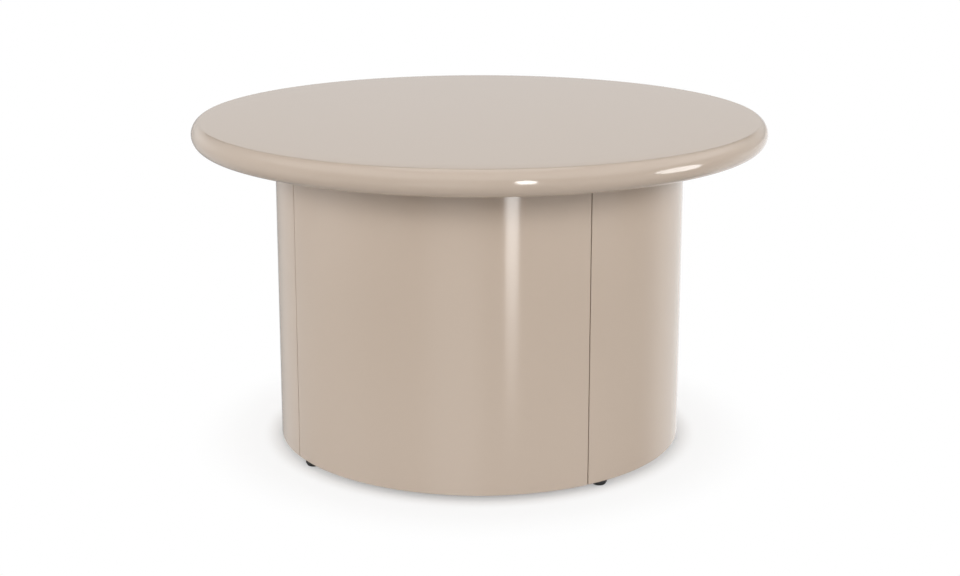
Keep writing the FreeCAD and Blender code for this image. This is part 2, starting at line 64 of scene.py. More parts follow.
# Sizes of the drum's inside that a node's box doesn't give
inside = {"seamGap": 0.0014, "cleatWidth": 0.034, "cleatDepth": 0.032, "glideSeamDistance": 0.0245,
          "topBoltCount": 8, "jointRows": 3}
panelInside, drumRadius = nodeRadii("drum_panel_front")
drumFoot, drumHead = (corner.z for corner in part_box("drum_panel_front"))
panelMiddle = (panelInside + drumRadius) / 2
cleatMiddle = panelInside - inside["cleatDepth"] / 2
ringMiddle = sum(nodeRadii("upper_ring")) / 2
glideAlong = math.sqrt(panelMiddle**2 - inside["glideSeamDistance"]**2)
topBoltShares = (np.arange(inside["topBoltCount"]) + 0.5) / inside["topBoltCount"]
topBoltAngles = seamAngles[0] + topBoltShares * fullTurn


# Mesh tools: a surface is its points, its quads and its triangles

def ringAngles(columns):
    return np.linspace(0, fullTurn, columns, endpoint=False)


def ringQuads(rows, columns):
    # quads between rings of points that are numbered ring by ring
    low = np.arange(rows - 1)[:, None] * columns
    high = low + columns
    column = np.arange(columns)[None, :]
    after = (column + 1) % columns
    return np.stack([low + column, low + after, high + after, high + column], axis=-1).reshape(-1, 4)


def turned(radius, height):
    # rings of points about the z axis, radius and height both given over (ring, angle), in the order that
    # turns the faces outward; a point on the axis closes each end with a fan
    rows, columns = radius.shape
    angle = ringAngles(columns)
    rings = np.stack([radius * np.cos(angle), radius * np.sin(angle), height], axis=-1).reshape(-1, 3)
    poles = np.array([[0, 0, height[0].mean()], [0, 0, height[-1].mean()]])
    around = np.arange(columns)
    after = (around + 1) % columns
    firstPole = rows * columns
    last = (rows - 1) * columns
    firstFan = np.stack([np.full(columns, firstPole), after, around], axis=-1)
    lastFan = np.stack([np.full(columns, firstPole + 1), last + around, last + after], axis=-1)
    return np.concatenate([rings, poles]), ringQuads(rows, columns), np.concatenate([firstFan, lastFan])


def profileRows(profile, columns):
    # rings from (radius, height, hexagon share): a share of 1 makes the ring a hexagon with that radius to
    # its flats, a share of 0 a circle
    radius, height, share = (np.array(column, float)[:, None] for column in zip(*profile))
    sixth = fullTurn / 6
    hexagon = 1 / np.cos(ringAngles(columns)[None, :] % sixth - sixth / 2)
    return radius * (1 - share + share * hexagon), np.broadcast_to(height, (len(profile), columns))


threadForm = {"slope": 1.3, "crestFlat": 0.15}


def threadRows(sizes, low, high):
    # a screw thread: the radius swings between root and crest with the height less its share of the turn,
    # with flats on both, and the swing dies away over half a pitch at each end
    pitch = sizes["pitch"]
    rows = int(round((high - low) / pitch * sizes["rowsPerTurn"])) + 1
    height = np.linspace(low, high, rows)[:, None]
    angle = ringAngles(sizes["columns"])[None, :]
    wave = np.abs(2 * ((height / pitch - angle / fullTurn) % 1) - 1)
    swing = np.clip(threadForm["slope"] * wave - threadForm["crestFlat"], 0, 1)
    fade = np.clip(np.minimum(height - low, high - height) / (pitch / 2), 0, 1)
    radius = sizes["crest"] - (sizes["crest"] - sizes["root"]) * swing * fade
    return radius, np.broadcast_to(height, radius.shape)


def stackRows(*runs):
    # several runs of rings, one after another
    return tuple(np.concatenate(arrays) for arrays in zip(*runs))


def threadedSurface(sizes, headRows, threadLow, threadHigh, tip):
    # the rings of a head, a thread and one tip ring, turned as one skin
    thread = threadRows(sizes, threadLow, threadHigh)
    return turned(*stackRows(headRows, thread, profileRows([tip], sizes["columns"])))


def hexSocket(sizes, face, way):
    # floor, wall and eased mouth of a hexagon socket that goes into a face along way
    flats = sizes["socketFlats"]
    lead = sizes["socketLead"]
    deepest = face + way * sizes["socketDepth"]
    return [(flats, deepest, 1), (flats, face + way * lead, 1), (flats + lead, face, 1)]


def turnedLoop(section, columns):
    # a closed section of (radius, height) points carried round the z axis
    radius, height = np.array(section).T[:, :, None]
    angle = ringAngles(columns)
    level = np.broadcast_to(height, (len(section), columns))
    points = np.stack([radius * np.cos(angle), radius * np.sin(angle), level], axis=-1).reshape(-1, 3)
    quads = ringQuads(len(section) + 1, columns) % len(points)
    return points, quads, np.empty((0, 3), int)


def boreUp(points, rim, centre, steps):
    # a round bore up from a face that looks down: the loop of face corners is drawn in to a circle, rings
    # climb by (radius, height) steps, and a fan closes the end
    spoke = points[rim, :2] - centre
    angle = np.arctan2(spoke[:, 1], spoke[:, 0])
    rings = []
    for radius, height in steps:
        level = np.full(len(rim), height)
        ring = [centre[0] + radius * np.cos(angle), centre[1] + radius * np.sin(angle), level]
        rings.append(np.stack(ring, axis=-1))
    ringNumbers = len(points) + np.arange(len(rings) * len(rim)).reshape(len(rings), -1)
    loops = np.concatenate([rim[None, :], ringNumbers])
    after = np.roll(loops, -1, axis=1)
    points = np.concatenate([points, *rings, [[*centre, steps[-1][1]]]])
    quads = np.stack([loops[:-1], loops[1:], after[1:], after[:-1]], axis=-1).reshape(-1, 4)
    fan = np.stack([loops[-1], np.full(len(rim), len(points) - 1), after[-1]], axis=-1)
    return points, quads, fan


def packedSurface(points, quads, triangles):
    # the surface without the points that none of its faces uses
    used, packed = np.unique(np.concatenate([quads.ravel(), triangles.ravel()]), return_inverse=True)
    return points[used], packed[:quads.size].reshape(-1, 4), packed[quads.size:].reshape(-1, 3)


def arc(centre, radius, start, end, count):
    # points (radius from the axis, height) on an arc between two angles in degrees
    angle = np.radians(np.linspace(start, end, count))
    return np.stack([centre[0] + radius * np.cos(angle), centre[1] + radius * np.sin(angle)], axis=-1)


def turnAboutZ(angle):
    cosine = math.cos(angle)
    sine = math.sin(angle)
    return np.array([[cosine, -sine, 0, 0], [sine, cosine, 0, 0], [0, 0, 1, 0], [0, 0, 0, 1]])


def turnAboutX(angle):
    cosine = math.cos(angle)
    sine = math.sin(angle)
    return np.array([[1, 0, 0, 0], [0, cosine, -sine, 0], [0, sine, cosine, 0], [0, 0, 0, 1]])


def shiftBy(x, y, z):
    matrix = np.eye(4)
    matrix[:3, 3] = x, y, z
    return matrix


def repeated(surface, places):
    # one surface set at each of several placements
    points, quads, triangles = surface
    places = np.array(places)
    moved = np.einsum("kij,nj->kni", places[:, :3, :3], points) + places[:, None, :3, 3]
    offsets = (np.arange(len(places)) * len(points))[:, None, None]
    return moved.reshape(-1, 3), (quads + offsets).reshape(-1, 4), (triangles + offsets).reshape(-1, 3)


def addObject(name, data):
    made = bpy.data.objects.new(name, data)
    bpy.context.scene.collection.objects.link(made)
    return made


def meshPiece(name, surface, materials, body, replaced, sharpAngle=32, materialOfFace=None):
    points, quads, triangles = surface
    mesh = bpy.data.meshes.new(name)
    mesh.vertices.add(len(points))
    mesh.vertices.foreach_set("co", points.astype(np.float32).ravel())
    corners = np.concatenate([quads.ravel(), triangles.ravel()])
    mesh.loops.add(len(corners))
    mesh.loops.foreach_set("vertex_index", corners.astype(np.int32))
    starts = np.concatenate([np.arange(len(quads)) * 4, quads.size + np.arange(len(triangles)) * 3])
    mesh.polygons.add(len(starts))
    mesh.polygons.foreach_set("loop_start", starts.astype(np.int32))
    mesh.update(calc_edges=True)
    for material in materials:
        mesh.materials.append(material)
    if materialOfFace is not None:
        mesh.polygons.foreach_set("material_index", materialOfFace.astype(np.int32))
    mesh.shade_smooth()
    mesh.set_sharp_from_angle(angle=math.radians(sharpAngle))
    piece = addObject(name, mesh)
    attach(piece, body)
    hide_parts(replaced)
    cad = np.array(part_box(replaced))
    off = max(np.abs(points.min(0) - cad[0]).max(), np.abs(points.max(0) - cad[1]).max())
    print(f"{name}: {len(mesh.polygons)} faces, box within {off * 1000:.2f} mm of {replaced}")
    return piece


# Material tools

def srgb(red, green, blue):
    # a colour as a picture shows it, 0 to 255, turned into linear light by the sRGB curve
    share = np.array([red, green, blue]) / 255
    linear = np.where(share <= 0.04045, share / 12.92, ((share + 0.055) / 1.055)**2.4)
    return (*linear.tolist(), 1.0)


def addNode(tree, kind, inputs=None, **properties):
    made = tree.nodes.new(kind)
    for key, value in properties.items():
        setattr(made, key, value)
    for key, value in (inputs or {}).items():
        if isinstance(value, bpy.types.NodeSocket):
            tree.links.new(value, made.inputs[key])
        else:
            made.inputs[key].default_value = value
    return made


def maths(tree, operation, *values):
    return addNode(tree, "ShaderNodeMath", dict(enumerate(values)), operation=operation).outputs[0]


def ramp(tree, value, start, end, low, high, kind="SMOOTHSTEP"):
    # low at the start and before it, high at the end and after it
    inputs = {"Value": value, "From Min": start, "From Max": end, "To Min": low, "To Max": high}
    return addNode(tree, "ShaderNodeMapRange", inputs, interpolation_type=kind).outputs["Result"]


def noise(tree, place, scale, detail, distortion=0.0):
    inputs = {"Vector": place, "Scale": scale, "Detail": detail, "Distortion": distortion}
    return addNode(tree, "ShaderNodeTexNoise", inputs).outputs["Fac"]


def mixColours(tree, share, first, second):
    # sockets 6 and 7 of a Mix node are its two colours, and output 2 is the mixed one
    return addNode(tree, "ShaderNodeMix", {0: share, 6: first, 7: second}, data_type="RGBA").outputs[2]


def mixValues(tree, share, first, second):
    # sockets 2 and 3 of a Mix node are its two values
    return addNode(tree, "ShaderNodeMix", {0: share, 2: first, 3: second}, data_type="FLOAT").outputs[0]


def newGroup(name, inputs, outputs):
    tree = bpy.data.node_groups.new(name, "ShaderNodeTree")
    for label, kind in inputs.items():
        tree.interface.new_socket(label, in_out="INPUT", socket_type=f"NodeSocket{kind}")
    for label, kind in outputs.items():
        tree.interface.new_socket(label, in_out="OUTPUT", socket_type=f"NodeSocket{kind}")
    given = tree.nodes.new("NodeGroupInput").outputs
    result = tree.nodes.new("NodeGroupOutput").inputs
    return tree, given, result


patchShape = {"detail": 3.0, "middle": 0.5}


def patchyToneGroup():
    # lightens and darkens a colour in soft patches
    inputs = {"Color": "Color", "Vector": "Vector", "Scale": "Float", "Amount": "Float"}
    tree, given, result = newGroup("patchyTone", inputs, {"Color": "Color"})
    patches = noise(tree, given["Vector"], given["Scale"], patchShape["detail"])
    swing = maths(tree, "SUBTRACT", patches, patchShape["middle"])
    value = maths(tree, "MULTIPLY_ADD", swing, given["Amount"], 1.0)
    shaded = addNode(tree, "ShaderNodeHueSaturation", {"Value": value, "Color": given["Color"]})
    tree.links.new(shaded.outputs["Color"], result["Color"])
    return tree


smearShape = {"detail": 4.0, "low": 0.3, "high": 0.7}


def unevenPolishGroup():
    # a roughness that wanders between two limits
    inputs = {"Vector": "Vector", "Scale": "Float", "Low": "Float", "High": "Float"}
    tree, given, result = newGroup("unevenPolish", inputs, {"Roughness": "Float"})
    smear = noise(tree, given["Vector"], given["Scale"], smearShape["detail"])
    rough = ramp(tree, smear, smearShape["low"], smearShape["high"], given["Low"], given["High"], "LINEAR")
    tree.links.new(rough, result["Roughness"])
    return tree


woodShape = {"stretch": (1.0, 1.0, 0.06), "bendScale": 18.0, "bendDetail": 2.0, "bendShare": 0.45,
             "lineDetail": 4.0, "lineWander": 0.6, "fibreScale": 900.0, "fibreDetail": 2.0,
             "fibreShare": 0.35, "lightest": 0.6, "darkest": 1.2}


def woodGrainGroup():
    # long fibres and broad growth lines along the vector's Z, in a light and a dark wood colour
    shape = woodShape
    inputs = {"Vector": "Vector", "Light": "Color", "Dark": "Color", "Line Scale": "Float"}
    tree, given, result = newGroup("woodGrain", inputs, {"Color": "Color", "Height": "Float"})
    stretching = {0: given["Vector"], 1: shape["stretch"]}
    stretched = addNode(tree, "ShaderNodeVectorMath", stretching, operation="MULTIPLY").outputs[0]
    bend = noise(tree, stretched, shape["bendScale"], shape["bendDetail"])
    lines = noise(tree, stretched, given["Line Scale"], shape["lineDetail"], shape["lineWander"])
    fibres = noise(tree, stretched, shape["fibreScale"], shape["fibreDetail"])
    blend = maths(tree, "MULTIPLY_ADD", bend, shape["bendShare"], lines)
    depth = maths(tree, "MULTIPLY_ADD", fibres, shape["fibreShare"], blend)
    tone = ramp(tree, depth, shape["lightest"], shape["darkest"], 0.0, 1.0, "LINEAR")
    tree.links.new(mixColours(tree, tone, given["Light"], given["Dark"]), result["Color"])
    tree.links.new(depth, result["Height"])
    return tree


patchyTone = patchyToneGroup()
unevenPolish = unevenPolishGroup()
woodGrain = woodGrainGroup()


def newMaterial(name, **sockets):
    material = bpy.data.materials.new(name)
    material.use_nodes = True
    tree = material.node_tree
    shader = tree.nodes["Principled BSDF"]
    for label, value in sockets.items():
        shader.inputs[label].default_value = value
    place = tree.nodes.new("ShaderNodeTexCoord").outputs["Object"]
    return material, tree, shader, place


def addTone(tree, place, colour, scale, amount):
    inputs = {"Color": colour, "Vector": place, "Scale": scale, "Amount": amount}
    return addNode(tree, "ShaderNodeGroup", inputs, node_tree=patchyTone).outputs["Color"]


def addWood(tree, place, look):
    inputs = {"Vector": place, "Light": look["light"], "Dark": look["dark"], "Line Scale": look["lineScale"]}
    return addNode(tree, "ShaderNodeGroup", inputs, node_tree=woodGrain).outputs


def intoShader(tree, shader, place, look, colour, height):
    # a colour, an uneven polish and a bump of this height
    gloss = {"Vector": place, "Scale": look["smearScale"], "Low": look["roughLow"], "High": look["roughHigh"]}
    polish = addNode(tree, "ShaderNodeGroup", gloss, node_tree=unevenPolish)
    relief = {"Height": height, "Strength": look["grainStrength"], "Distance": look["grainDepth"]}
    bump = addNode(tree, "ShaderNodeBump", relief)
    tree.links.new(colour, shader.inputs["Base Color"])
    tree.links.new(polish.outputs["Roughness"], shader.inputs["Roughness"])
    tree.links.new(bump.outputs["Normal"], shader.inputs["Normal"])


# Sprayed gloss lacquer: even warm beige, a faint orange peel and slightly uneven polish
lacquerLook = {"colour": srgb(195, 178, 162), "patchScale": 2.2, "patchAmount": 0.02,
               "grainScale": 260.0, "grainStrength": 0.012, "grainDepth": 0.0004,
               "smearScale": 5.0, "roughLow": 0.085, "roughHigh": 0.12}

# The inside of the panels: a thin, dull coat of nearly the same colour with a dusty spray grain
sealerLook = {"colour": srgb(186, 168, 150), "patchScale": 16.0, "patchAmount": 0.16,
              "grainScale": 1100.0, "grainStrength": 0.3, "grainDepth": 0.0003,
              "smearScale": 22.0, "roughLow": 0.5, "roughHigh": 0.72}

# Moulded black plastic with a fine matt grain
nylonLook = {"colour": srgb(19, 19, 18), "patchScale": 300.0, "patchAmount": 0.5,
             "grainScale": 1800.0, "grainStrength": 0.25, "grainDepth": 0.0002,
             "smearScale": 150.0, "roughLow": 0.5, "roughHigh": 0.68}

# Bright zinc plating, a little cloudy
zincLook = {"colour": srgb(196, 198, 196), "patchScale": 120.0, "patchAmount": 0.25,
            "grainScale": 1400.0, "grainStrength": 0.12, "grainDepth": 0.0001,
            "smearScale": 90.0, "roughLow": 0.24, "roughHigh": 0.42}
coatGrainDetail = 1.5


def coatMaterial(name, look, **sockets):
    # an even coat: its colour a little patchy, with a fine bump
    material, tree, shader, place = newMaterial(name, **sockets)
    tone = addTone(tree, place, look["colour"], look["patchScale"], look["patchAmount"])
    intoShader(tree, shader, place, look, tone, noise(tree, place, look["grainScale"], coatGrainDetail))
    return material


hardwoodLook = {"light": srgb(205, 168, 122), "dark": srgb(150, 108, 68), "lineScale": 70.0,
                "grainStrength": 0.25, "grainDepth": 0.0004,
                "smearScale": 30.0, "roughLow": 0.5, "roughHigh": 0.66}


def hardwoodMaterial():
    # planed hardwood, its grain upright
    material, tree, shader, place = newMaterial("hardwood", IOR=1.45)
    wood = addWood(tree, place, hardwoodLook)
    intoShader(tree, shader, place, hardwoodLook, wood["Color"], wood["Height"])
    return material


plywoodLook = {"light": srgb(222, 194, 152), "dark": srgb(190, 150, 104), "lineScale": 45.0,
               "glue": srgb(96, 66, 42), "glueShare": 0.12, "plyThickness": 0.0018, "faceSkin": 0.0001,
               "endGrain": srgb(168, 128, 86), "poreScale": 900.0, "poreAmount": 0.9,
               "streakScale": 120.0, "streakAmount": 0.3, "grainStrength": 0.2, "grainDepth": 0.0003,
               "smearScale": 25.0, "roughLow": 0.48, "roughHigh": 0.62}


def plywoodMaterial(name, foot, head):
    # birch plywood: face veneer on the two flats, and between them plies of long and end grain by turns
    look = plywoodLook
    material, tree, shader, place = newMaterial(name, IOR=1.45)
    flatWay = addNode(tree, "ShaderNodeMapping", {"Vector": place, "Rotation": (quarterTurn, 0.0, 0.0)})
    veneer = addWood(tree, flatWay.outputs["Vector"], look)
    height = addNode(tree, "ShaderNodeSeparateXYZ", {"Vector": place}).outputs["Z"]
    ply = maths(tree, "DIVIDE", maths(tree, "SUBTRACT", height, foot), look["plyThickness"])
    endPly = maths(tree, "GREATER_THAN", maths(tree, "MODULO", ply, 2.0), 1.0)
    glueLine = maths(tree, "LESS_THAN", maths(tree, "FRACT", ply), look["glueShare"])
    endGrain = addTone(tree, place, look["endGrain"], look["poreScale"], look["poreAmount"])
    longGrain = addTone(tree, place, look["light"], look["streakScale"], look["streakAmount"])
    plies = mixColours(tree, endPly, longGrain, endGrain)
    edge = mixColours(tree, glueLine, plies, look["glue"])
    fromMiddle = maths(tree, "ABSOLUTE", maths(tree, "SUBTRACT", height, (foot + head) / 2))
    onFlat = maths(tree, "GREATER_THAN", fromMiddle, (head - foot) / 2 - look["faceSkin"])
    colour = mixColours(tree, onFlat, edge, veneer["Color"])
    intoShader(tree, shader, place, look, colour, veneer["Height"])
    return material


lacquer = coatMaterial("glossLacquer", lacquerLook, IOR=1.5)
sealer = coatMaterial("dullSealer", sealerLook, IOR=1.45)
nylon = coatMaterial("blackNylon", nylonLook, IOR=1.5)
zinc = coatMaterial("zincSteel", zincLook, Metallic=1.0)
hardwood = hardwoodMaterial()
print("materials made")

# Round top: a profile turned about the axis. Flat underside, a nose arc tangent to it that stops where the
# board's face cuts it, a small eased arris there, and the flat face. Blind holes for the bolts' inserts open
# in the underside, each in a patch of the grid.
topSizes = {"noseCrop": 0.002, "arrisRound": 0.004, "columns": 480, "noseRows": 56, "arrisRows": 6,
            "flatRows": 10, "holeRadius": 0.00505, "holeDepth": 0.02, "patchHalf": 0.009, "patchSteps": 6}


def tableTopSurface():
    sizes = topSizes
    low, high = (corner.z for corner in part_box("table_top"))
    noseRadius = (high - low + sizes["noseCrop"]) / 2
    noseCentre = (nodeRadii("table_top")[1] - noseRadius, low + noseRadius)
    ease = sizes["arrisRound"]
    easeRise = high - ease - noseCentre[1]
    easeReach = math.sqrt((noseRadius - ease)**2 - easeRise**2)
    meeting = math.degrees(math.atan2(easeRise, easeReach))
    lead = np.linspace(0.0, ringMiddle - sizes["patchHalf"], sizes["flatRows"])[1:]
    patch = np.linspace(lead[-1], ringMiddle + sizes["patchHalf"], sizes["patchSteps"] + 1)[1:]
    overhang = np.linspace(patch[-1], noseCentre[0], sizes["flatRows"])[1:-1]
    under = np.concatenate([lead, patch, overhang])
    nose = arc(noseCentre, noseRadius, -90, meeting, sizes["noseRows"])
    arris = arc((noseCentre[0] + easeReach, high - ease), ease, meeting, 90, sizes["arrisRows"])[1:]
    face = np.linspace(arris[-1, 0], 0.0, sizes["flatRows"])[1:-1]
    radius = np.concatenate([under, nose[:, 0], arris[:, 0], face])
    height = np.concatenate([np.full(len(under), low), nose[:, 1], arris[:, 1], np.full(len(face), high)])
    shape = (len(radius), sizes["columns"])
    points, quads, fans = turned(np.broadcast_to(radius[:, None], shape),
                                 np.broadcast_to(height[:, None], shape))

    number = np.arange(shape[0] * shape[1]).reshape(shape)
    kept = np.ones((shape[0] - 1, shape[1]), bool)
    first = len(lead) - 1
    last = first + sizes["patchSteps"]
    halfPatch = sizes["patchSteps"] // 2
    steps = [(sizes["holeRadius"], low), (sizes["holeRadius"], low + sizes["holeDepth"])]
    walls = []
    ends = []
    for angle in topBoltAngles:
        middle = int(round(angle / fullTurn * sizes["columns"]))
        columns = np.arange(middle - halfPatch, middle + halfPatch + 1) % sizes["columns"]
        kept[first:last, columns[:-1]] = False
        rim = np.concatenate([number[last, columns[:-1]], number[last:first:-1, columns[-1]],
                              number[first, columns[:0:-1]], number[first:last, columns[0]]])
        centre = ringMiddle * np.array([math.cos(angle), math.sin(angle)])
        points, wall, end = boreUp(points, rim, centre, steps)
        walls.append(wall)
        ends.append(end)
    return packedSurface(points, np.concatenate([quads[kept.ravel()], *walls]), np.concatenate([fans, *ends]))


meshPiece("round_top", tableTopSurface(), [lacquer], "base", "table_top", sharpAngle=60)

# Quarter panel: a lattice bent round the drum. One parameter runs along the arc from half a gap past one seam
# to half a gap short of the next, one through the thickness and one up the height; only the lattice's skin is
# kept, and a stepped bore for the glide opens in its lower edge.
panelSizes = {"arcColumns": 150, "leadColumns": 6, "heightRows": 30, "arrisRound": 0.0005, "arrisSegments": 3,
              "boreRadius": 0.00505, "boreDepth": 0.016, "tipRadius": 0.0035, "tipDepth": 0.031,
              "patchHalf": 0.007, "patchSteps": 8, "near": 1e-5}


def panelPlan(along, through):
    # plan place for a share along the arc and a share through the thickness
    radius = drumRadius - through * (drumRadius - panelInside)
    trim = np.arcsin(inside["seamGap"] / 2 / radius)
    angle = trim + along * (quarterTurn - 2 * trim)
    return radius * np.cos(angle), radius * np.sin(angle)


def latticeSide(numbers):
    # quads of one side of the lattice
    corners = [numbers[:-1, :-1], numbers[1:, :-1], numbers[1:, 1:], numbers[:-1, 1:]]
    return np.stack(corners, axis=-1)


def panelSurface():
    sizes = panelSizes
    trim = math.asin(inside["seamGap"] / 2 / panelMiddle)
    span = quarterTurn - 2 * trim
    boreAlong = (math.asin(inside["glideSeamDistance"] / panelMiddle) - trim) / span
    patchAlong = sizes["patchHalf"] / (panelMiddle * span)
    lowAlong = boreAlong - patchAlong
    highAlong = boreAlong + patchAlong
    lead = np.linspace(0, lowAlong, sizes["leadColumns"])
    patch = np.linspace(lowAlong, highAlong, sizes["patchSteps"] + 1)
    tail = np.linspace(highAlong, 1, sizes["arcColumns"])
    along = np.concatenate([lead[:-1], patch, tail[1:]])
    patchThrough = sizes["patchHalf"] / (drumRadius - panelInside)
    patch = np.linspace(0.5 - patchThrough, 0.5 + patchThrough, sizes["patchSteps"] + 1)
    through = np.concatenate([[0], patch, [1]])
    height = np.linspace(drumFoot, drumHead, sizes["heightRows"] + 1)
    alongGrid, throughGrid, heightGrid = np.meshgrid(along, through, height, indexing="ij")
    x, y = panelPlan(alongGrid, throughGrid)
    points = np.stack([x, y, heightGrid], axis=-1).reshape(-1, 3)

    number = np.arange(len(points)).reshape(alongGrid.shape)
    first = len(lead) - 1
    last = first + sizes["patchSteps"]
    foot = latticeSide(number[:, ::-1, 0])
    footKept = np.ones(foot.shape[:2], bool)
    footKept[first:last, 1:-1] = False
    outer = latticeSide(number[:, 0, :]).reshape(-1, 4)
    inner = latticeSide(number[::-1, -1, :]).reshape(-1, 4)
    start = latticeSide(number[0, ::-1, :]).reshape(-1, 4)
    end = latticeSide(number[-1, :, :]).reshape(-1, 4)
    head = latticeSide(number[:, :, -1]).reshape(-1, 4)
    rim = np.concatenate([number[first:last, 1, 0], number[last, 1:-2, 0],
                          number[last:first:-1, -2, 0], number[first, -2:1:-1, 0]])
    boreEnd = drumFoot + sizes["boreDepth"]
    steps = [(sizes["boreRadius"], drumFoot), (sizes["boreRadius"], boreEnd),
             (sizes["tipRadius"], boreEnd), (sizes["tipRadius"], drumFoot + sizes["tipDepth"])]
    points, bore, fan = boreUp(points, rim, np.array([glideAlong, inside["glideSeamDistance"]]), steps)
    quads = np.concatenate([outer, inner, start, end, head, foot[footKept], bore])
    dull = np.zeros(len(quads) + len(fan))
    dull[len(outer):len(outer) + len(inner)] = 1
    return packedSurface(points, quads, fan), dull


def easeArrises(piece, startAngle):
    # a small round on the outer upright edges and the outer lower edge, by bevel weight
    mesh = piece.data
    points = np.empty(len(mesh.vertices) * 3, np.float32)
    mesh.vertices.foreach_get("co", points)
    points = points.reshape(-1, 3)
    ends = np.empty(len(mesh.edges) * 2, np.int32)
    mesh.edges.foreach_get("vertices", ends)
    ends = ends.reshape(-1, 2)
    near = panelSizes["near"]
    halfGap = inside["seamGap"] / 2
    outer = np.abs(np.hypot(points[:, 0], points[:, 1]) - drumRadius) < near
    low = np.abs(points[:, 2] - drumFoot) < near
    across = points[:, 0] * -math.sin(startAngle) + points[:, 1] * math.cos(startAngle)
    along = points[:, 0] * math.cos(startAngle) + points[:, 1] * math.sin(startAngle)
    atSeam = (np.abs(across - halfGap) < near) | (np.abs(along - halfGap) < near)
    chosen = (outer & low)[ends].all(axis=1) | (outer & atSeam)[ends].all(axis=1)
    weight = mesh.attributes.new("bevel_weight_edge", "FLOAT", "EDGE")
    weight.data.foreach_set("value", chosen.astype(np.float32))
    bevel = piece.modifiers.new("easedArrises", "BEVEL")
    bevel.limit_method = "WEIGHT"
    bevel.width = panelSizes["arrisRound"]
    bevel.segments = panelSizes["arrisSegments"]
    bevel.harden_normals = True


quarterPanel, dullFaces = panelSurface()
for panelName, seamAngle in zip(panelNames, seamAngles):
    surface = repeated(quarterPanel, [turnAboutZ(seamAngle)])
    panel = meshPiece(f"panel_{panelName}", surface, [lacquer, sealer], "base",
                      f"drum_panel_{panelName}", materialOfFace=dullFaces)
    easeArrises(panel, seamAngle)

# Levelling pad: a turned button with a rounded foot, a tapered side, a short rim and a hexagon socket on top
padSizes = {"footRadius": 0.0085, "footRound": 0.002, "rimRadius": 0.011, "rimHeight": 0.0016,
            "rimEase": 0.0003, "socketFlats": 0.005, "socketDepth": 0.003, "socketLead": 0.0003,
            "gateRadius": 0.0016, "gateDepth": 0.0003, "roundRows": 7, "easeRows": 4, "columns": 72}


def padSurface(foot, head):
    sizes = padSizes
    rimRadius = sizes["rimRadius"]
    rimFoot = head - sizes["rimHeight"]
    footRound = sizes["footRound"]
    slope = math.degrees(math.atan2(rimFoot - foot, rimRadius - sizes["footRadius"]))
    tangent = footRound / math.tan(math.radians(180 - slope) / 2)
    cornerCentre = (sizes["footRadius"] - tangent, foot + footRound)
    corner = arc(cornerCentre, footRound, -90, slope - 90, sizes["roundRows"])
    easeCentre = (rimRadius - sizes["rimEase"], head - sizes["rimEase"])
    ease = arc(easeCentre, sizes["rimEase"], 0, 90, sizes["easeRows"])
    gate = sizes["gateRadius"]
    profile = [(gate - sizes["gateDepth"], foot + sizes["gateDepth"], 0), (gate, foot, 0)]
    profile += [(*point, 0) for point in corner]
    profile += [(rimRadius, rimFoot, 0)]
    profile += [(*point, 0) for point in ease]
    profile += hexSocket(sizes, head, -1)[::-1]
    return turned(*profileRows(profile, sizes["columns"]))


# Levelling stud: a hexagon head with chamfered corners, an M6 thread and a chamfered tip
studSizes = {"headFlats": 0.00495, "headChamfer": 0.0005, "crest": 0.003, "root": 0.0024, "pitch": 0.001,
             "rowsPerTurn": 8, "tipChamfer": 0.0008, "columns": 36}


def studSurface(foot, shoulder, tip):
    sizes = studSizes
    flats = sizes["headFlats"]
    chamfer = sizes["tipChamfer"]
    head = [(flats, foot, 1), (flats, shoulder - sizes["headChamfer"], 1), (flats, shoulder, 0)]
    return threadedSurface(sizes, profileRows(head, sizes["columns"]), shoulder, tip - chamfer,
                           (sizes["crest"] - chamfer, tip, 0))


for seamName, seamAngle in zip(seamNames, seamAngles):
    place = [turnAboutZ(seamAngle) @ shiftBy(glideAlong, inside["glideSeamDistance"], 0)]
    padFoot, padHead = (corner.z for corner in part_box(f"glide_pad_{seamName}"))
    studFoot, studTip = (corner.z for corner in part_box(f"glide_stud_{seamName}"))
    meshPiece(f"levelling_pad_{seamName}", repeated(padSurface(padFoot, padHead), place), [nylon],
              f"glide_{seamName}", f"glide_pad_{seamName}")
    meshPiece(f"levelling_stud_{seamName}", repeated(studSurface(studFoot, padHead, studTip), place), [zinc],
              f"glide_{seamName}", f"glide_stud_{seamName}", sharpAngle=40)

# Wood screw: a cross recess in a countersunk head, a coarse thread and a point. In plan the recess is two
# crossing slots: along a direction it ends at the slot's end or its side, whichever comes first.
screwSizes = {"rimRadius": 0.0048, "rimHeight": 0.0002, "neckHeight": 0.0025, "crest": 0.0025, "root": 0.0017,
              "pitch": 0.0025, "rowsPerTurn": 6, "tipLength": 0.005, "tipRadius": 0.0003,
              "slotLength": 0.0026, "slotHalf": 0.0006, "leastSine": 1e-6, "recessDepth": 0.002,
              "recessTaper": 0.5, "columns": 48}


def screwSurface(length):
    sizes = screwSizes
    fromSlot = np.abs((ringAngles(sizes["columns"]) + math.pi / 4) % quarterTurn - math.pi / 4)
    side = sizes["slotHalf"] / np.maximum(np.sin(fromSlot), sizes["leastSine"])
    cross = np.minimum(sizes["slotLength"] / np.cos(fromSlot), side)
    level = np.zeros(sizes["columns"])
    recess = np.stack([cross * sizes["recessTaper"], cross]), np.stack([level + sizes["recessDepth"], level])
    head = [(sizes["rimRadius"] - sizes["rimHeight"], 0, 0), (sizes["rimRadius"], sizes["rimHeight"], 0)]
    headRows = stackRows(recess, profileRows(head, sizes["columns"]))
    return threadedSurface(sizes, headRows, sizes["neckHeight"], length - sizes["tipLength"],
                           (sizes["tipRadius"], length, 0))


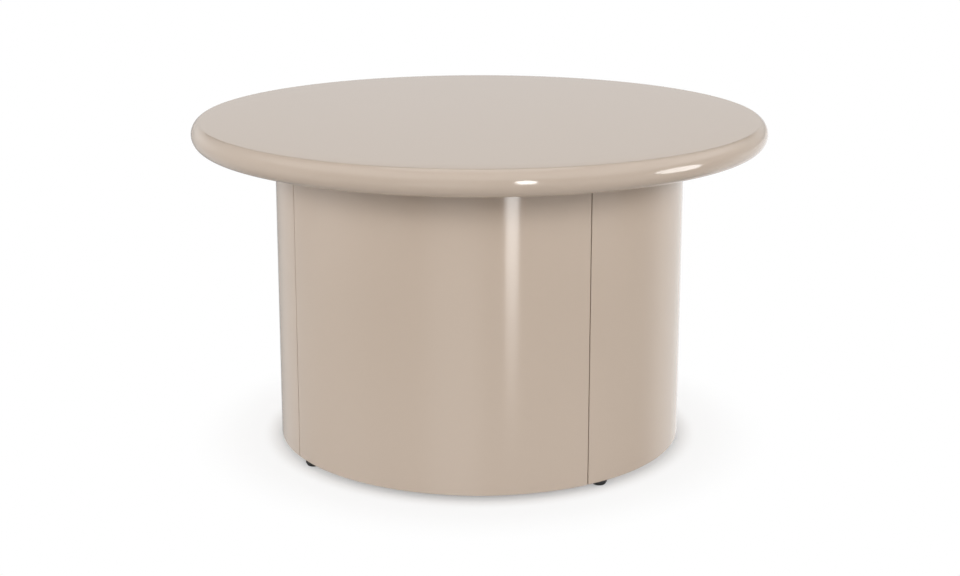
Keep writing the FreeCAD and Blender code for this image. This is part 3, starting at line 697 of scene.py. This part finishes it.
for ringName, turn in (("upper", halfTurn), ("lower", 0.0)):
    low, high = (corner.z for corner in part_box(f"{ringName}_ring_screws"))
    headLevel = high if turn else low
    places = []
    for seamAngle in seamAngles:
        for side in (-1, 1):
            aside = shiftBy(cleatMiddle, side * inside["cleatWidth"] / 2, headLevel)
            places.append(turnAboutZ(seamAngle) @ aside @ turnAboutX(turn))
    meshPiece(f"wood_screws_{ringName}", repeated(screwSurface(high - low), places), [zinc],
              "base", f"{ringName}_ring_screws", sharpAngle=40)

# Joint bolts and sleeve nuts across each seam: low heads with rounded rims and hexagon sockets
jointSizes = {"headRadius": 0.0075, "headHeight": 0.0025, "headRound": 0.001, "rimRows": 6,
              "socketFlats": 0.002, "socketDepth": 0.0017, "socketLead": 0.0002,
              "crest": 0.003, "root": 0.00245, "pitch": 0.001, "rowsPerTurn": 8,
              "threadLength": 0.02, "boltReach": 0.026, "tipChamfer": 0.0006,
              "sleeveRadius": 0.004, "sleeveLength": 0.022, "boreRadius": 0.00305, "boreLead": 0.0005,
              "columns": 36}


def jointHead(face, way):
    # socket and rounded rim of a head whose face looks along -way
    headRound = jointSizes["headRound"]
    rim = arc((jointSizes["headRadius"] - headRound, 0), headRound, -90, 0, jointSizes["rimRows"])
    rounded = [(radius, face + way * (headRound + height), 0) for radius, height in rim]
    return hexSocket(jointSizes, face, way) + rounded


def jointBoltSurface():
    sizes = jointSizes
    seat = -inside["cleatWidth"]
    reach = sizes["boltReach"]
    chamfer = sizes["tipChamfer"]
    head = jointHead(seat - sizes["headHeight"], 1)
    head += [(sizes["headRadius"], seat, 0), (sizes["crest"], seat, 0)]
    return threadedSurface(sizes, profileRows(head, sizes["columns"]), reach - sizes["threadLength"],
                           reach - chamfer, (sizes["crest"] - chamfer, reach, 0))


def jointNutSurface():
    sizes = jointSizes
    seat = inside["cleatWidth"]
    mouth = seat - sizes["sleeveLength"]
    bore = sizes["boreRadius"]
    lead = sizes["boreLead"]
    outside = sizes["sleeveRadius"]
    sleeve = [(bore, seat, 0), (bore, mouth + lead, 0), (bore + lead, mouth, 0),
              (outside, mouth, 0), (outside, seat, 0), (sizes["headRadius"], seat, 0)]
    head = jointHead(seat + sizes["headHeight"], -1)[::-1]
    return turned(*profileRows(sleeve + head, sizes["columns"]))


jointLow, jointHigh = (corner.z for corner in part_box("connector_bolts"))
jointHeights = np.linspace(jointLow + jointSizes["headRadius"], jointHigh - jointSizes["headRadius"],
                           inside["jointRows"])
jointPlaces = [turnAboutZ(seamAngle) @ shiftBy(cleatMiddle, 0, height) @ turnAboutX(-quarterTurn)
               for seamAngle in seamAngles for height in jointHeights]
meshPiece("joint_bolts", repeated(jointBoltSurface(), jointPlaces), [zinc], "base",
          "connector_bolts", sharpAngle=40)
meshPiece("joint_nuts", repeated(jointNutSurface(), jointPlaces), [zinc], "base",
          "connector_nuts", sharpAngle=40)

# Bolts and washers under the upper ring that hold the top
topBoltSizes = {"headRadius": 0.006, "crownRadius": 0.0034, "crownHeight": 0.0024, "crownRows": 8,
                "socketFlats": 0.002, "socketDepth": 0.0024, "socketLead": 0.0002,
                "crest": 0.003, "root": 0.00245, "pitch": 0.001, "rowsPerTurn": 8,
                "threadLength": 0.024, "tipChamfer": 0.0006, "columns": 36}
washerSizes = {"boreRadius": 0.0035, "rimRadius": 0.009, "ease": 0.0003, "columns": 48}


def topBoltSurface(face, seat, tip):
    # socket, a crown that is a quarter of an ellipse in section, a short cylinder and the threaded shank
    sizes = topBoltSizes
    chamfer = sizes["tipChamfer"]
    turn = np.linspace(0, quarterTurn, sizes["crownRows"])
    crownReach = sizes["crownRadius"] + (sizes["headRadius"] - sizes["crownRadius"]) * np.sin(turn)
    crownLevel = face + sizes["crownHeight"] * (1 - np.cos(turn))
    head = hexSocket(sizes, face, 1)
    head += [(radius, height, 0) for radius, height in zip(crownReach, crownLevel)]
    head += [(sizes["headRadius"], seat, 0), (sizes["crest"], seat, 0)]
    return threadedSurface(sizes, profileRows(head, sizes["columns"]), tip - sizes["threadLength"],
                           tip - chamfer, (sizes["crest"] - chamfer, tip, 0))


def washerSurface(low, high):
    # a rectangle in section, its corners cut off a little
    bore = washerSizes["boreRadius"]
    rim = washerSizes["rimRadius"]
    ease = washerSizes["ease"]
    section = [(bore + ease, low), (rim - ease, low), (rim, low + ease), (rim, high - ease),
               (rim - ease, high), (bore + ease, high), (bore, high - ease), (bore, low + ease)]
    return turnedLoop(section, washerSizes["columns"])


boltFace, boltTip = (corner.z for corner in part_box("top_bolts"))
washerLow, washerHigh = (corner.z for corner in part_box("top_washers"))
topBoltPlaces = [turnAboutZ(angle) @ shiftBy(ringMiddle, 0, 0) for angle in topBoltAngles]
meshPiece("top_fixing_bolts", repeated(topBoltSurface(boltFace, washerLow, boltTip), topBoltPlaces), [zinc],
          "base", "top_bolts", sharpAngle=40)
meshPiece("top_fixing_washers", repeated(washerSurface(washerLow, washerHigh), topBoltPlaces), [zinc],
          "base", "top_washers", sharpAngle=50)

# Construction inside the drum: rings, cleats and inserts keep their solids
for label in ("upper_ring", "lower_ring"):
    ringFoot, ringHead = (corner.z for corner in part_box(label))
    nodes[label].material_slots[0].material = plywoodMaterial(f"birchPlywood_{label}", ringFoot, ringHead)
for label, node in nodes.items():
    if label.startswith("cleat_"):
        node.material_slots[0].material = hardwood
    elif label in ("top_inserts", "glide_inserts"):
        node.material_slots[0].material = zinc
print("inside dressed")

# Camera: angles in degrees, the focal length in pixels of a picture 960 wide, the shift as a share of that
# width, and the picture's column where the table's axis stands
cameraPlace = {"azimuth": 15.0, "distance": 2.4, "height": 0.8668, "pitch": 12.716, "focalPixels": 1705.6,
               "imageWidth": 960, "shiftDown": 0.08, "axisColumn": 479.5, "sensorWidth": 36.0, "clipEnd": 100}


def makeCamera():
    place = cameraPlace
    data = bpy.data.cameras.new("photoCamera")
    camera = addObject("photoCamera", data)
    azimuth = math.radians(place["azimuth"])
    camera.location = (place["distance"] * math.sin(azimuth), -place["distance"] * math.cos(azimuth),
                       place["height"])
    camera.rotation_euler = (math.radians(90 - place["pitch"]), 0, azimuth)
    data.sensor_width = place["sensorWidth"]
    data.lens = place["focalPixels"] * data.sensor_width / place["imageWidth"]
    data.shift_y = -place["shiftDown"]
    data.shift_x = (place["imageWidth"] / 2 - place["axisColumn"]) / place["imageWidth"]
    data.clip_end = place["clipEnd"]
    bpy.context.scene.camera = camera


# seen and bounce are the paper's tone to the camera and in the light it passes on. The shares are of a
# painted white glow seen by the camera: least at the drum's foot (startShare), more by nearEnd, full by
# farEnd. So the floor is painted darker round the foot and painted white over the shadow further out
floorLook = {"half": 30.0, "seen": 0.9, "bounce": 0.65, "nearStart": 0.288, "nearEnd": 0.32, "farEnd": 0.43,
             "startShare": 0.3, "nearShare": 0.82}


def makeFloor():
    # white paper: it keeps the table's shadow. To the camera it also glows white, weakly at the drum's foot
    # and fully further out. This paints shade round the foot, and paints light over the table's shadow
    # further away until the floor is as white as the background. A camera below it sees through it
    look = floorLook
    half = look["half"]
    corners = [(-half, -half, 0), (half, -half, 0), (half, half, 0), (-half, half, 0)]
    mesh = bpy.data.meshes.new("floor")
    mesh.from_pydata(corners, [], [(0, 1, 2, 3)])
    floor = addObject("floor", mesh)
    material = bpy.data.materials.new("paperFloor")
    material.use_nodes = True
    tree = material.node_tree
    tree.nodes.clear()
    fromCamera = tree.nodes.new("ShaderNodeLightPath").outputs["Is Camera Ray"]
    tone = ramp(tree, fromCamera, 0.0, 1.0, look["bounce"], look["seen"], "LINEAR")
    paper = addNode(tree, "ShaderNodeBsdfDiffuse", {"Color": tone}).outputs[0]
    white = addNode(tree, "ShaderNodeEmission", {"Strength": 1.0}).outputs[0]
    place = tree.nodes.new("ShaderNodeTexCoord").outputs["Object"]
    away = addNode(tree, "ShaderNodeVectorMath", {0: place}, operation="LENGTH").outputs["Value"]
    # painted shade and light: the white glow grows outward from the drum's foot, so the floor is darker round
    # the foot and whiter further out whatever the light
    near = ramp(tree, away, look["nearStart"], look["nearEnd"], look["startShare"], look["nearShare"])
    far = ramp(tree, away, look["nearEnd"], look["farEnd"], 0.0, 1.0 - look["nearShare"])
    share = maths(tree, "MULTIPLY", maths(tree, "ADD", near, far), fromCamera)
    seen = addNode(tree, "ShaderNodeMixShader", {"Fac": share, 1: paper, 2: white}).outputs[0]
    clear = tree.nodes.new("ShaderNodeBsdfTransparent").outputs[0]
    behind = tree.nodes.new("ShaderNodeNewGeometry").outputs["Backfacing"]
    under = maths(tree, "MULTIPLY", behind, fromCamera)
    both = addNode(tree, "ShaderNodeMixShader", {"Fac": under, 1: seen, 2: clear}).outputs[0]
    output = tree.nodes.new("ShaderNodeOutputMaterial")
    tree.links.new(both, output.inputs["Surface"])
    mesh.materials.append(material)
    floor.visible_glossy = False  # the lacquer mirrors the studio, which goes on below the floor line


# The studio as the lacquer mirrors it: a pale room with soft panels, and a dark flag, which is a panel of
# negative strength. Azimuths are from the camera; edge and fall are the widths of a panel's soft edges,
# sideways and upwards; all are in degrees. The dome that lights the table is a bright belt on a dim sky.
studioLook = {
    "horizon": 0.3, "belt": 3.8, "zenith": 0.18, "beltFoot": (10.5, 16.5), "beltHead": (26.0, 33.0),
    "mirroredFloor": 0.4, "mirroredRoom": 0.7, "roomFoot": (-6.0, 8.0), "fallPower": 1.5,
    "panels": [
        {"azimuth": 17.6, "halfWidth": 3.5, "elevation": -7.5, "halfHeight": 7.5, "edge": 1.2,
         "fall": 14.0, "strength": 14.0},  # narrow upright strip
        {"azimuth": 10.0, "halfWidth": 120.0, "elevation": 44.0, "halfHeight": 22.0, "edge": 40.0,
         "fall": 10.0, "strength": 1.2},  # broad sky in front
        {"azimuth": 0.0, "halfWidth": 200.0, "elevation": 90.0, "halfHeight": 24.0, "edge": 10.0,
         "fall": 10.0, "strength": 0.7},  # ceiling
        {"azimuth": 0.0, "halfWidth": 82.0, "elevation": -25.0, "halfHeight": 7.0, "edge": 50.0,
         "fall": 8.0, "strength": 0.55},  # low in front
        {"azimuth": 52.0, "halfWidth": 30.0, "elevation": -10.5, "halfHeight": 3.5, "edge": 20.0,
         "fall": 5.0, "strength": 0.85},  # low on the right
        {"azimuth": -72.0, "halfWidth": 30.0, "elevation": -10.5, "halfHeight": 3.5, "edge": 20.0,
         "fall": 5.0, "strength": 0.6},  # low on the left
        {"azimuth": 180.0, "halfWidth": 32.0, "elevation": 39.0, "halfHeight": 23.0, "edge": 16.0,
         "fall": 8.0, "strength": -0.62},  # dark flag behind the table
        {"azimuth": -110.0, "halfWidth": 42.0, "elevation": -10.0, "halfHeight": 25.0, "edge": 30.0,
         "fall": 20.0, "strength": 0.4},  # far left
        {"azimuth": -14.0, "halfWidth": 14.0, "elevation": -15.0, "halfHeight": 20.0, "edge": 14.0,
         "fall": 20.0, "strength": 0.6},  # left of the camera
        {"azimuth": 145.0, "halfWidth": 32.0, "elevation": -20.0, "halfHeight": 18.0, "edge": 30.0,
         "fall": 10.0, "strength": 0.65},  # behind on the right
    ],
    "lampHeight": 2.4, "lampAcross": 1.6, "lampPower": 6.6,
    "cards": [
        {"place": (0.3998, -0.2349, 0.4453), "turn": 62.04, "wide": 0.111, "tall": 0.0415, "power": 0.0898},
        {"place": (0.1839, -0.4152, 0.4546), "turn": 25.99, "wide": 0.0354, "tall": 0.022, "power": 0.0271},
    ],
}


def makeWorld():
    look = studioLook
    world = bpy.data.worlds.new("studio")
    bpy.context.scene.world = world
    world.use_nodes = True
    tree = world.node_tree
    tree.nodes.clear()
    direction = tree.nodes.new("ShaderNodeTexCoord").outputs["Generated"]
    way = addNode(tree, "ShaderNodeSeparateXYZ", {"Vector": direction}).outputs
    azimuth = maths(tree, "ARCTAN2", way["X"], maths(tree, "MULTIPLY", way["Y"], -1.0))
    elevation = maths(tree, "ARCSINE", way["Z"])
    roomFoot = np.radians(look["roomFoot"]).tolist()
    mirrored = ramp(tree, elevation, *roomFoot, look["mirroredFloor"], look["mirroredRoom"])
    for panel in look["panels"]:
        centre = math.radians(panel["azimuth"] + cameraPlace["azimuth"])
        turn = maths(tree, "WRAP", maths(tree, "SUBTRACT", azimuth, centre), halfTurn, -halfTurn)
        rise = maths(tree, "SUBTRACT", elevation, math.radians(panel["elevation"]))
        wide = math.radians(panel["halfWidth"])
        halfEdge = math.radians(panel["edge"]) / 2
        tall = math.radians(panel["halfHeight"])
        halfFall = math.radians(panel["fall"]) / 2
        sideways = maths(tree, "ABSOLUTE", turn)
        upwards = maths(tree, "ABSOLUTE", rise)
        across = ramp(tree, sideways, wide - halfEdge, wide + halfEdge, panel["strength"], 0.0)
        along = ramp(tree, upwards, tall - halfFall, tall + halfFall, 1.0, 0.0)
        along = maths(tree, "POWER", along, look["fallPower"])
        mirrored = maths(tree, "MULTIPLY_ADD", across, along, mirrored)
    beltFoot = np.radians(look["beltFoot"]).tolist()
    beltHead = np.radians(look["beltHead"]).tolist()
    belt = ramp(tree, elevation, *beltFoot, look["horizon"], look["belt"])
    dome = maths(tree, "MULTIPLY", belt, ramp(tree, elevation, *beltHead, 1.0, look["zenith"] / look["belt"]))
    path = tree.nodes.new("ShaderNodeLightPath").outputs
    light = mixValues(tree, path["Is Glossy Ray"], dome, mirrored)
    seen = maths(tree, "MAXIMUM", path["Is Camera Ray"], path["Is Transmission Ray"])
    strength = mixValues(tree, seen, light, 1.0)
    background = addNode(tree, "ShaderNodeBackground", {"Color": (1, 1, 1, 1), "Strength": strength})
    output = tree.nodes.new("ShaderNodeOutputWorld")
    tree.links.new(background.outputs[0], output.inputs["Surface"])


def addAreaLamp(name, shape, place, across, power):
    data = bpy.data.lights.new(name, "AREA")
    data.shape = shape
    data.size = across
    data.energy = power
    lamp = addObject(name, data)
    lamp.location = place
    return lamp


def makeLamps():
    # a broad disc straight above, which the top keeps off the drum, and two small cards close to the nose
    # that show only as its glints: they are lower than the flat, which can't mirror them
    look = studioLook
    addAreaLamp("overheadLamp", "DISK", (0, 0, look["lampHeight"]), look["lampAcross"], look["lampPower"])
    for card in look["cards"]:
        lamp = addAreaLamp("glintCard", "ELLIPSE", card["place"], card["wide"], card["power"])
        lamp.data.size_y = card["tall"]
        lamp.rotation_euler = (quarterTurn, 0, math.radians(card["turn"]))
        lamp.visible_diffuse = False


makeCamera()
makeFloor()
makeWorld()
makeLamps()
bpy.context.scene.view_settings.view_transform = "Standard"
print("studio made")
